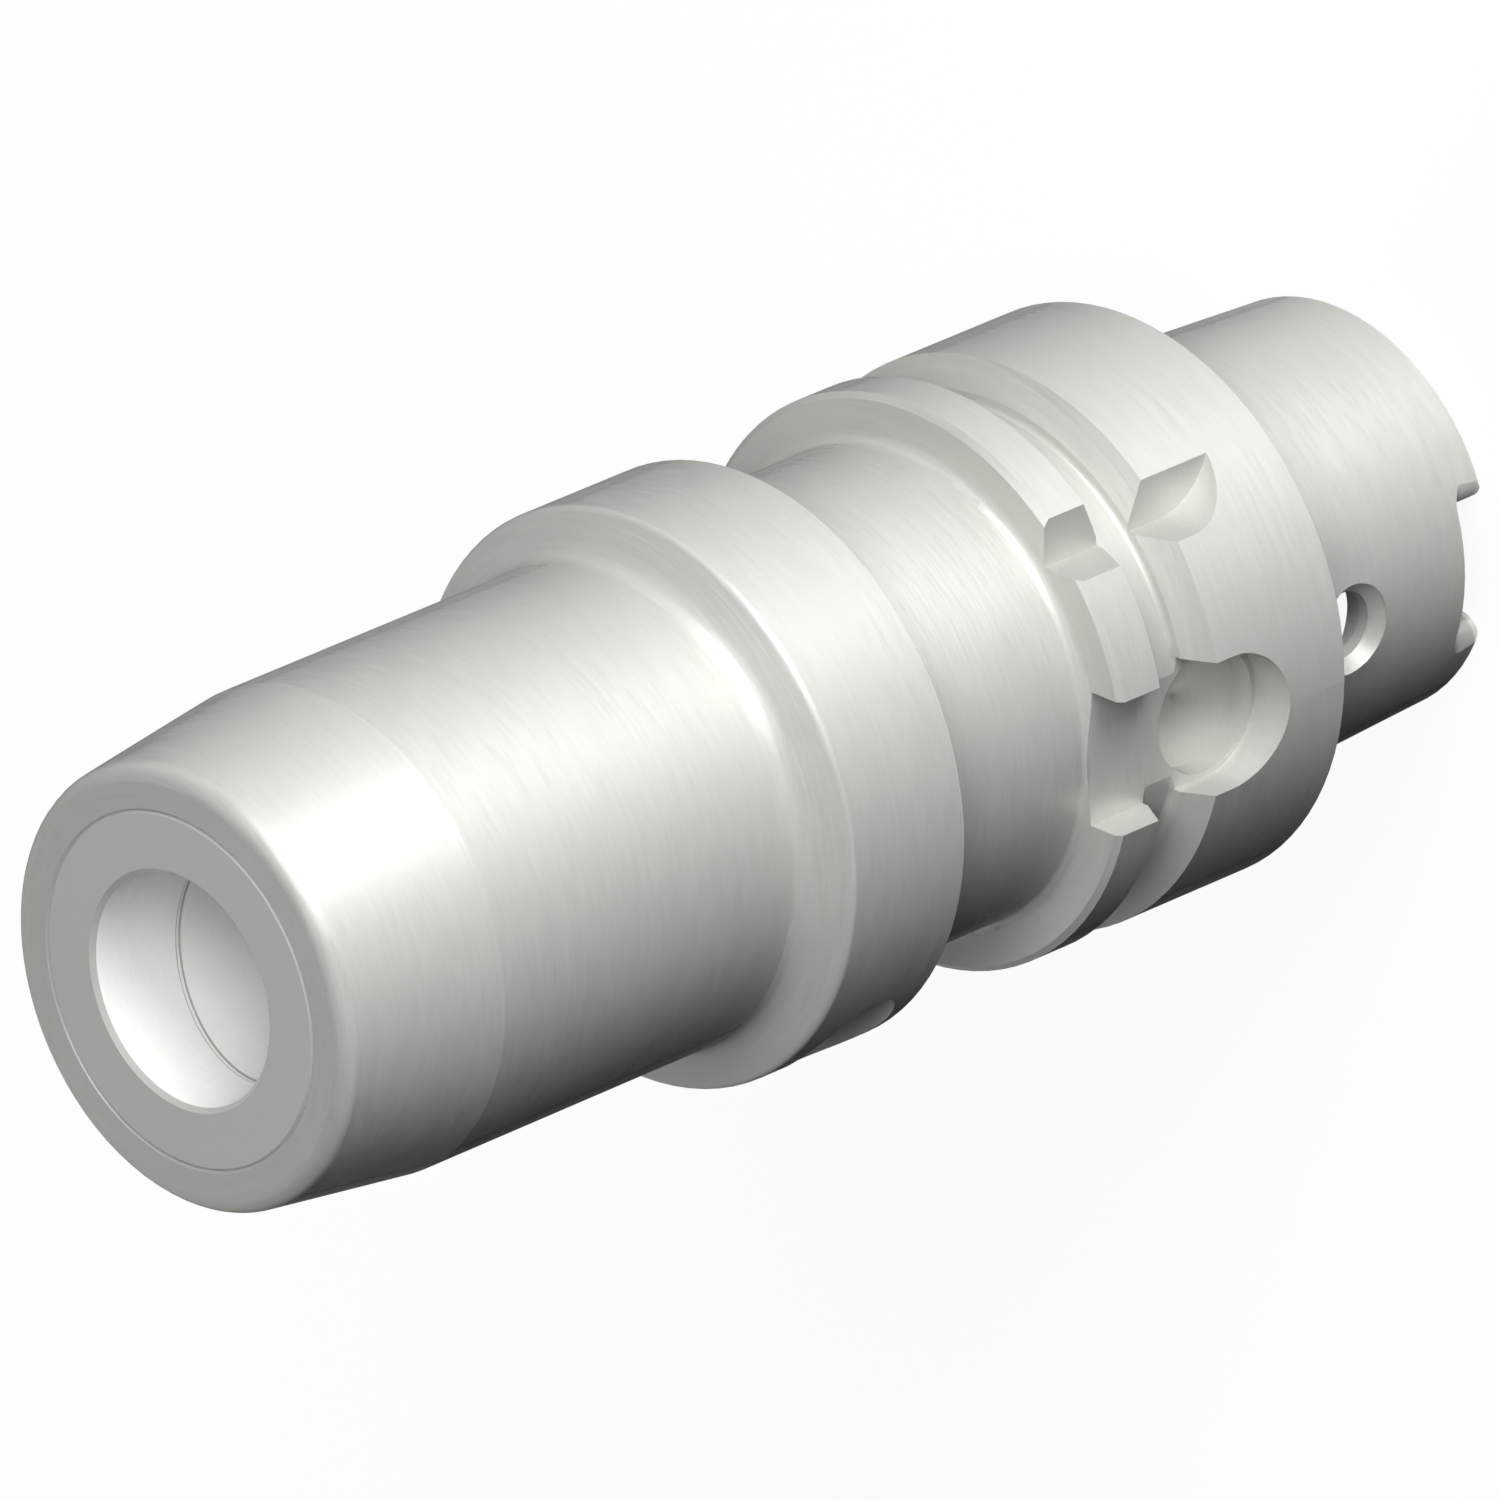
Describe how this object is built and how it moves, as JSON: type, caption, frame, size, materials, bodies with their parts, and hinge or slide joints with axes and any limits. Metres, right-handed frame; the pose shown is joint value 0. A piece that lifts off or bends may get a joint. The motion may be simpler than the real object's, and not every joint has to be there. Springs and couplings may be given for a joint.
{
  "type": "hydraulic chuck",
  "caption": "Hydraulic expansion chuck with a hollow taper shank, a flange with a gripper groove, a collar with the clamping screw and a long clamping barrel with a plain tool bore.",
  "frame": {"origin": "on the spindle axis, in the plane of the flange's contact face", "axes": "+Z along the spindle axis towards the nose and the tool; +X through the middle of the narrower drive slot, the one with the data chip hole"},
  "size_m": [0.05, 0.05, 0.135],
  "materials": {
    "body_steel": "finely turned and ground bare steel",
    "sleeve_steel": "finely ground bare steel",
    "black_screw": "black oxide",
    "piston_steel": "ground",
    "seal_rubber": "smooth",
    "ball_steel": "polished"
  },
  "bodies": {
    "chuck": {"chuck_body": "body_steel", "expansion_sleeve": "sleeve_steel", "bleed_screw": "black_screw", "sealing_ball": "ball_steel"},
    "piston": {"clamping_piston": "piston_steel", "piston_seal": "seal_rubber"},
    "screw": {"clamping_screw": "black_screw"},
    "stop": {"stop_screw": "black_screw"}
  },
  "joints": [
    {"name": "piston_slide", "type": "slide", "parent": "chuck", "child": "piston", "axis": [0, 1, 0], "range_m": [0, 0.005]},
    {"name": "clamp_screw_turn", "type": "hinge", "parent": "piston", "child": "screw", "pos_m": [0.01635, -0.01, 0.0506], "axis": [0, 1, 0], "range_deg": [0, 1800]},
    {"name": "stop_screw_slide", "type": "slide", "parent": "chuck", "child": "stop", "axis": [0, 0, 1], "range_m": [0, 0.01]}
  ],
  "couplings": [
    {"joint": "clamp_screw_turn", "follows": "piston_slide", "rad_per_m": 6283.2}
  ]
}
